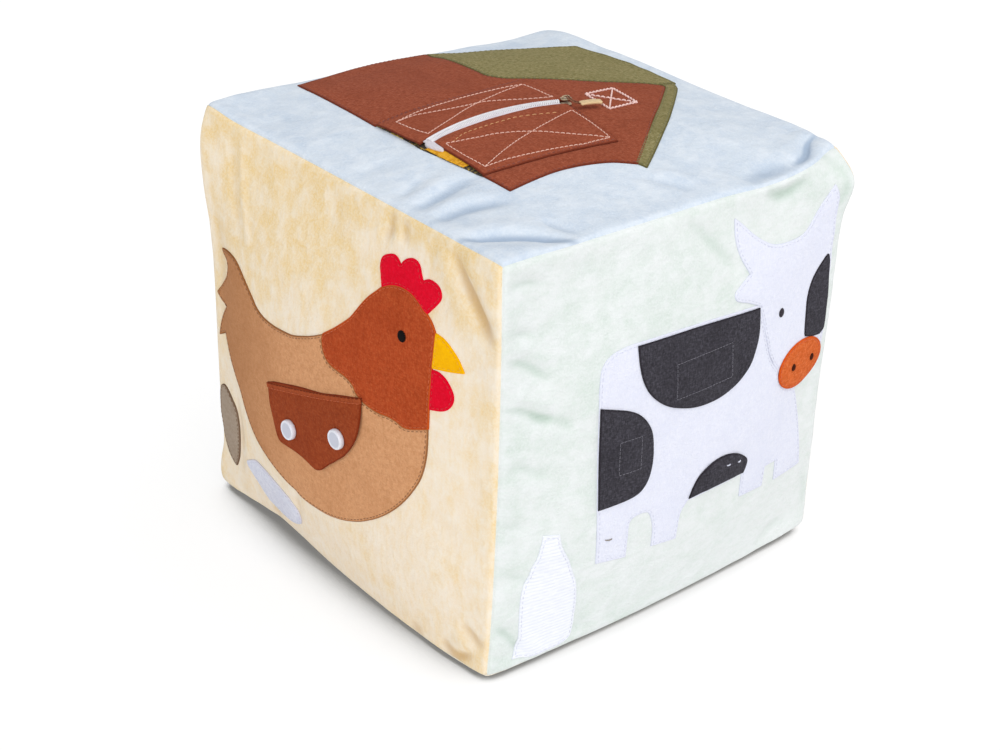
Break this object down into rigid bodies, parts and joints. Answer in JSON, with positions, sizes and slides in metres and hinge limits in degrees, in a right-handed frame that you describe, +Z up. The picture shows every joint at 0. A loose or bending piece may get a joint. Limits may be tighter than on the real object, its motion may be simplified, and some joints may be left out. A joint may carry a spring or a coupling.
{
  "type": "soft fabric block",
  "caption": "Stuffed velour play cube with felt farm pictures, a snap-down hen wing, pull-off cow spots and a barn whose doors are joined by a zip.",
  "frame": {"origin": "middle of the flat resting face under the cube, on the floor", "axes": "+Z up; -Y is out of the hen face, +X out of the cow face; the barn is on top with its roof towards +Y"},
  "size_m": [0.242, 0.2326, 0.2207],
  "materials": {
    "black_thread": "satin embroidery thread",
    "brick_felt": "matt wool-look felt",
    "butter_velour": "soft short velour nap, butter yellow",
    "charcoal_felt": "matt wool-look felt",
    "cream_velour": "soft short velour nap, off-white",
    "dark_lining": "matt printed lining",
    "hook_tape": "matt woven",
    "lavender_felt": "matt wool-look felt",
    "loop_tape": "matt woven",
    "mint_velour": "soft short velour nap, pale mint",
    "olive_felt": "matt wool-look felt",
    "orange_felt": "matt wool-look felt",
    "red_felt": "matt wool-look felt",
    "rust_felt": "matt wool-look felt",
    "sky_velour": "soft short velour nap, pale blue",
    "slider_metal": "bronze-grey lacquer",
    "snap_plastic": "glossy moulded plastic",
    "tan_felt": "matt wool-look felt",
    "tan_ribbon": "woven ribbon",
    "taupe_felt": "matt wool-look felt",
    "white_felt": "matt wool-look felt",
    "white_fibre": "loose polyester fibre",
    "yellow_felt": "matt wool-look felt",
    "zip_white": "woven tape and nylon coil"
  },
  "bodies": {
    "block": {"back_loop_square": "loop_tape", "back_panel": "butter_velour", "barn_panel": "sky_velour", "barn_roof": "olive_felt", "barn_wall": "brick_felt", "base_panel": "cream_velour", "belly_loop_square": "loop_tape", "cow_body": "white_felt", "cow_cheek_patch": "charcoal_felt", "cow_eye": "black_thread", "cow_head": "white_felt", "cow_muzzle": "orange_felt", "cow_panel": "mint_velour", "fibre_filling": "white_fibre", "hay_felt": "yellow_felt", "hen_beak": "yellow_felt", "hen_body": "tan_felt", "hen_comb": "red_felt", "hen_eye": "black_thread", "hen_head": "rust_felt", "hen_panel": "butter_velour", "hen_wattle": "red_felt", "left_nostril": "black_thread", "left_panel": "cream_velour", "left_snap_stud": "snap_plastic", "milk_bottle": "white_felt", "pocket_lining": "dark_lining", "right_nostril": "black_thread", "right_snap_stud": "snap_plastic", "roof_edge": "olive_felt", "rump_loop_square": "loop_tape", "taupe_egg": "taupe_felt", "white_egg": "lavender_felt", "zip_foot": "zip_white"},
    "hen_wing": {"hen_wing": "rust_felt", "left_snap_cap": "snap_plastic", "right_snap_cap": "snap_plastic", "left_snap_socket": "snap_plastic", "right_snap_socket": "snap_plastic"},
    "left_barn_door": {"left_door": "brick_felt", "left_zip_tape": "zip_white", "left_zip_coil": "zip_white"},
    "right_barn_door": {"right_door": "brick_felt", "right_zip_tape": "zip_white", "right_zip_coil": "zip_white"},
    "zip_runner": {"zip_slider": "slider_metal"},
    "zip_pull": {"zip_bail": "slider_metal", "zip_tab": "tan_ribbon"},
    "back_spot": {"back_spot": "charcoal_felt", "back_hook_square": "hook_tape"},
    "rump_spot": {"rump_spot": "charcoal_felt", "rump_hook_square": "hook_tape"},
    "belly_spot": {"belly_spot": "charcoal_felt", "belly_hook_square": "hook_tape"}
  },
  "joints": [
    {"name": "wing_flap", "type": "hinge", "parent": "block", "child": "hen_wing", "pos_m": [-0.00953, -0.11951, 0.10178], "axis": [-0.949, -0.0111, -0.315], "range_deg": [0, 150]},
    {"name": "left_door_swing", "type": "hinge", "parent": "block", "child": "left_barn_door", "pos_m": [-0.03292, -0.02066, 0.21541], "axis": [0.0043, -0.9993, -0.038], "range_deg": [0, 150]},
    {"name": "right_door_swing", "type": "hinge", "parent": "block", "child": "right_barn_door", "pos_m": [0.04518, -0.02565, 0.21394], "axis": [0.0816, 0.996, 0.0351], "range_deg": [0, 150]},
    {"name": "zip_travel", "type": "hinge", "parent": "block", "child": "zip_runner", "pos_m": [0.11286, -0.02458, 0.19766], "axis": [0.1449, -0.0486, 0.9883], "range_deg": [0, 35.98]},
    {"name": "zip_pull_swing", "type": "hinge", "parent": "zip_runner", "child": "zip_pull", "pos_m": [0.0047, 0.01849, 0.21915], "axis": [0.8025, -0.5966, -0.0078], "range_deg": [0, 160]},
    {"name": "back_spot_lift", "type": "slide", "parent": "block", "child": "back_spot", "axis": [1, 0, 0], "range_m": [0, 0.06]},
    {"name": "rump_spot_lift", "type": "slide", "parent": "block", "child": "rump_spot", "axis": [1, 0, 0], "range_m": [0, 0.06]},
    {"name": "belly_spot_lift", "type": "slide", "parent": "block", "child": "belly_spot", "axis": [1, 0, 0], "range_m": [0, 0.06]}
  ]
}
